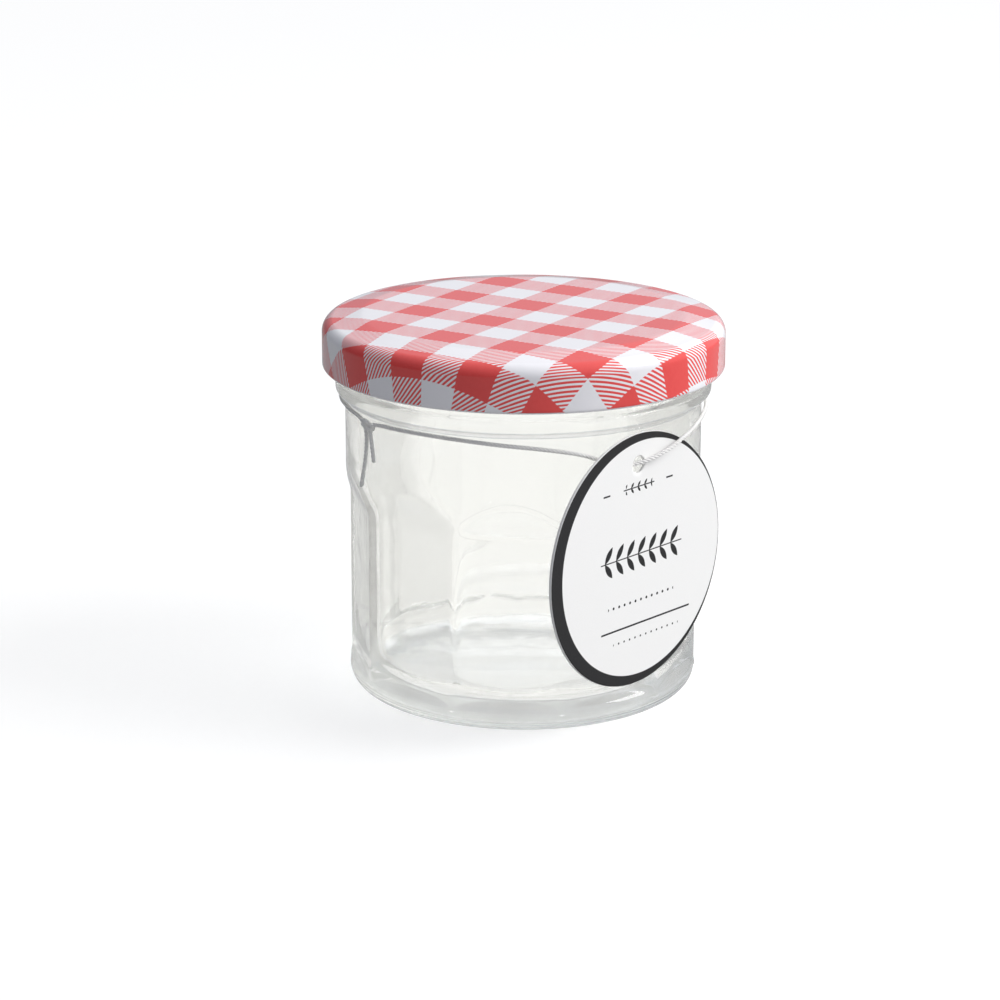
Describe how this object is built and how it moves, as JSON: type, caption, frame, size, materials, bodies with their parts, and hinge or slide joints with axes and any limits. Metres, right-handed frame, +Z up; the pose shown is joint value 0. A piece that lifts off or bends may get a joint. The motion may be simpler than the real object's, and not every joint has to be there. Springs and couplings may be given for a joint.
{
  "type": "ten-sided glass jar with twist-off lid and tag",
  "caption": "Small empty clear glass preserve jar with flat facets under a round neck band, a red gingham twist-off lid, and a round card tag tied round the neck with string.",
  "frame": {"origin": "on the standing surface, at the centre of the jar's base", "axes": "+Z up along the jar's axis, -Y out of the middle of one flat; the tag hangs towards +X and -Y"},
  "size_m": [0.073, 0.0807, 0.0695],
  "materials": {
    "glass": "clear pressed glass, fire polished",
    "printed_steel": "glossy lacquered tinplate, red and white gingham print",
    "seal": "satin moulded plastisol",
    "card": "matt uncoated card, printed edge ring",
    "cotton": "thin twisted cotton string"
  },
  "bodies": {
    "root": {"glass_jar": "glass", "lid": "printed_steel", "liner": "seal", "tag": "card", "string": "cotton", "knot": "cotton"}
  },
  "joints": []
}
